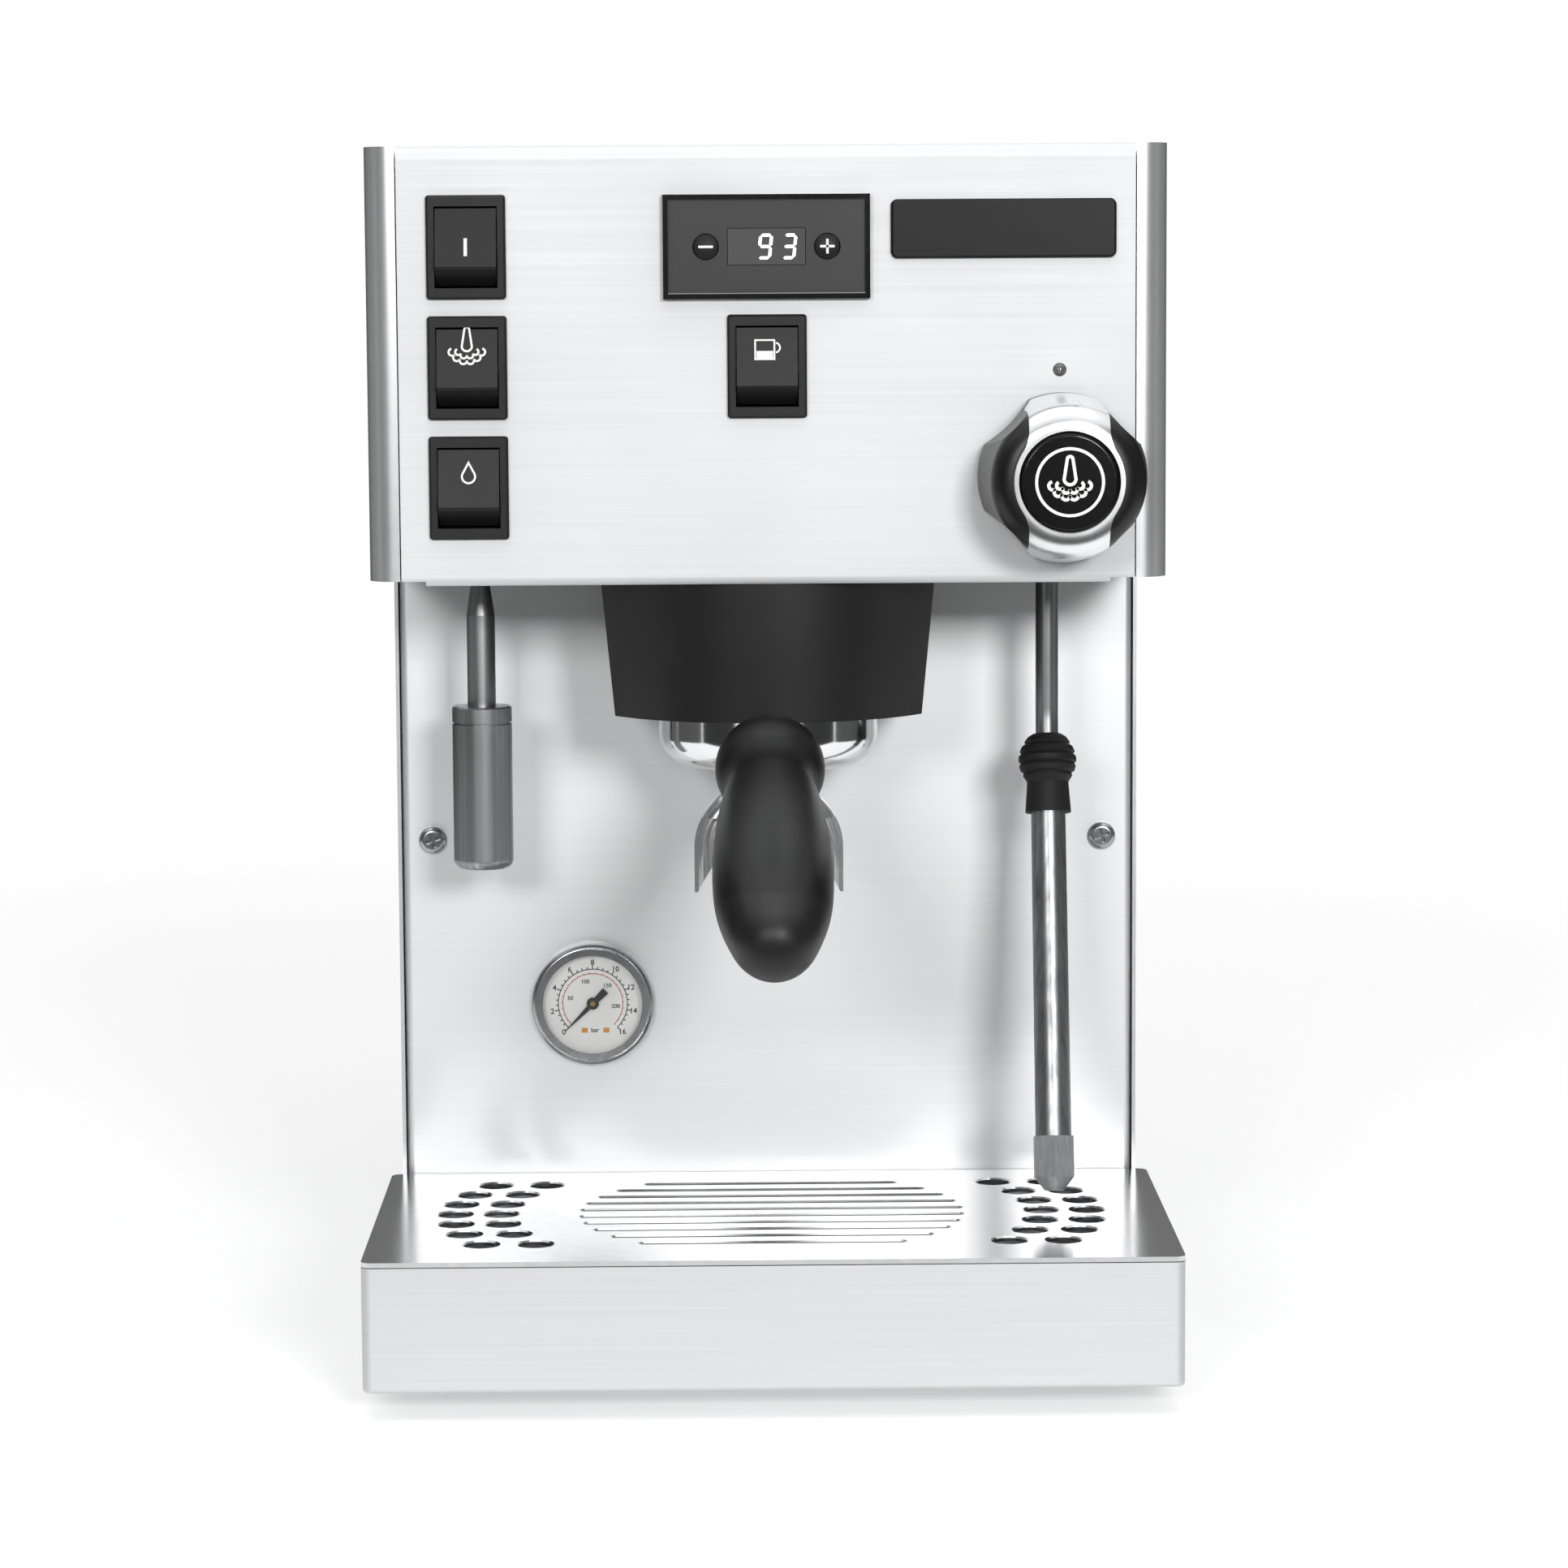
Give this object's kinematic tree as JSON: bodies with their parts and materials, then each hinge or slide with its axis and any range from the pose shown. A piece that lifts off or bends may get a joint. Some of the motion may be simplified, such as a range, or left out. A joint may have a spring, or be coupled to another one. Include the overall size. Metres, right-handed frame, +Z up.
{
  "type": "espresso machine",
  "caption": "Free-standing steel espresso machine with a bayonet portafilter, tilting steam wand, knob, rocker switches, display, gauge, sliding drip tray and lift-out tank.",
  "frame": {"origin": "on the counter under the rubber feet, below the middle of the overall box", "axes": "+Z up, -Y to the front where the handle points, +X to the right side as the front is seen"},
  "size_m": [0.25, 0.5352, 0.384],
  "materials": {
    "panel_steel": "brushed stainless sheet, fine lines along its length",
    "polished_steel": "polished stainless steel",
    "chassis_steel": "bare grey sheet steel",
    "foot_rubber": "black moulded rubber",
    "seal_rubber": "black moulded rubber",
    "black_plastic": "black moulded plastic, satin",
    "rocker_plastic": "black moulded plastic, half gloss",
    "display_plastic": "dark grey moulded plastic, gloss",
    "display_glass": "dark display window",
    "lens_glass": "clear gauge lens",
    "lamp_plastic": "small smoked lamp lens, unlit",
    "chrome": "bright chrome plating",
    "brass": "machined brass",
    "copper": "bent copper pipe",
    "boiler_steel": "drawn stainless vessel",
    "pump_body": "cast aluminium housing",
    "tank_plastic": "milky moulded plastic",
    "dial_white": "white painted dial",
    "needle_black": "black painted needle"
  },
  "bodies": {
    "housing": {"right_side_panel": "panel_steel", "left_side_panel": "panel_steel", "control_panel": "panel_steel", "head_underside": "panel_steel", "splash_panel": "panel_steel", "back_panel": "panel_steel", "cup_tray": "panel_steel", "shower_screen": "polished_steel", "pan_head_screws": "polished_steel", "chassis": "chassis_steel", "base_pan": "chassis_steel", "feet": "foot_rubber", "group_gasket": "seal_rubber", "group_cover": "black_plastic", "power_switch_frame": "black_plastic", "steam_switch_frame": "black_plastic", "water_switch_frame": "black_plastic", "coffee_switch_frame": "black_plastic", "power_inlet": "black_plastic", "display_frame": "display_plastic", "badge_plate": "display_plastic", "display_window": "display_glass", "gauge_lens": "lens_glass", "pilot_lamp": "lamp_plastic", "hot_water_tube": "chrome", "hot_water_outlet": "chrome", "gauge_case": "chrome", "group_head": "brass", "steam_valve": "brass", "solenoid_valve": "brass", "copper_pipes": "copper", "coffee_boiler": "boiler_steel", "steam_boiler": "boiler_steel", "pump": "pump_body", "gauge_dial": "dial_white"},
    "power_rocker": {"power_rocker": "rocker_plastic"},
    "steam_rocker": {"steam_rocker": "rocker_plastic"},
    "water_rocker": {"water_rocker": "rocker_plastic"},
    "coffee_rocker": {"coffee_rocker": "rocker_plastic"},
    "minus_button": {"minus_button": "display_plastic"},
    "plus_button": {"plus_button": "display_plastic"},
    "steam_knob": {"knob_body": "black_plastic", "knob_bridge": "chrome", "knob_disc": "display_plastic", "valve_stem": "chassis_steel"},
    "wand_swivel": {"wand_collar": "brass"},
    "steam_wand": {"wand_tube": "chrome", "wand_grip": "seal_rubber", "wand_tip": "chrome"},
    "portafilter": {"portafilter_bowl": "chrome", "filter_basket": "polished_steel", "basket_spring": "polished_steel", "portafilter_handle": "black_plastic", "handle_end_cap": "black_plastic", "double_spout": "chrome"},
    "drip_tray": {"drip_tray": "panel_steel"},
    "drip_grate": {"drip_grate": "polished_steel"},
    "water_tank": {"water_tank": "tank_plastic"},
    "tank_lid": {"tank_lid": "panel_steel"},
    "gauge_needle": {"gauge_needle": "needle_black"}
  },
  "joints": [
    {"name": "power_rocker_tip", "type": "hinge", "parent": "housing", "child": "power_rocker", "pos_m": [-0.0905, -0.124, 0.3538], "axis": [-1, 0, 0], "range_deg": [0, 12]},
    {"name": "steam_rocker_tip", "type": "hinge", "parent": "housing", "child": "steam_rocker", "pos_m": [-0.0905, -0.124, 0.3176], "axis": [-1, 0, 0], "range_deg": [0, 12]},
    {"name": "water_rocker_tip", "type": "hinge", "parent": "housing", "child": "water_rocker", "pos_m": [-0.0905, -0.124, 0.2814], "axis": [-1, 0, 0], "range_deg": [0, 12]},
    {"name": "coffee_rocker_tip", "type": "hinge", "parent": "housing", "child": "coffee_rocker", "pos_m": [0, -0.124, 0.3176], "axis": [-1, 0, 0], "range_deg": [0, 12]},
    {"name": "minus_button_press", "type": "slide", "parent": "housing", "child": "minus_button", "axis": [0, 1, 0], "range_m": [0, 0.0008], "stiffness_N_per_m": 400, "springref_m": -0.0005},
    {"name": "plus_button_press", "type": "slide", "parent": "housing", "child": "plus_button", "axis": [0, 1, 0], "range_m": [0, 0.0008], "stiffness_N_per_m": 400, "springref_m": -0.0005},
    {"name": "steam_knob_turn", "type": "hinge", "parent": "housing", "child": "steam_knob", "pos_m": [0.089, -0.124, 0.2837], "axis": [0, -1, 0], "range_deg": [0, 330]},
    {"name": "wand_swivel_turn", "type": "hinge", "parent": "housing", "child": "wand_swivel", "pos_m": [0.089, -0.061, 0.2542], "axis": [0, 0, 1], "range_deg": [-60, 60]},
    {"name": "wand_tilt", "type": "hinge", "parent": "wand_swivel", "child": "steam_wand", "pos_m": [0.089, -0.061, 0.2542], "axis": [-1, 0, 0], "range_deg": [0, 15]},
    {"name": "portafilter_turn", "type": "hinge", "parent": "housing", "child": "portafilter", "pos_m": [0, -0.071, 0.2], "axis": [0, 0, 1], "range_deg": [-50, 0]},
    {"name": "drip_tray_slide", "type": "slide", "parent": "housing", "child": "drip_tray", "axis": [0, -1, 0], "range_m": [0, 0.16]},
    {"name": "drip_grate_lift", "type": "slide", "parent": "drip_tray", "child": "drip_grate", "axis": [0, 0, 1], "range_m": [0, 0.006]},
    {"name": "tank_lift", "type": "slide", "parent": "housing", "child": "water_tank", "axis": [0, 0, 1], "range_m": [0, 0.38]},
    {"name": "tank_lid_lift", "type": "slide", "parent": "water_tank", "child": "tank_lid", "axis": [0, 0, 1], "range_m": [0, 0.05]},
    {"name": "gauge_needle_turn", "type": "hinge", "parent": "housing", "child": "gauge_needle", "pos_m": [-0.058, -0.019, 0.106], "axis": [0, 1, 0], "range_deg": [0, 270], "stiffness_Nm_per_rad": 0.0005}
  ]
}
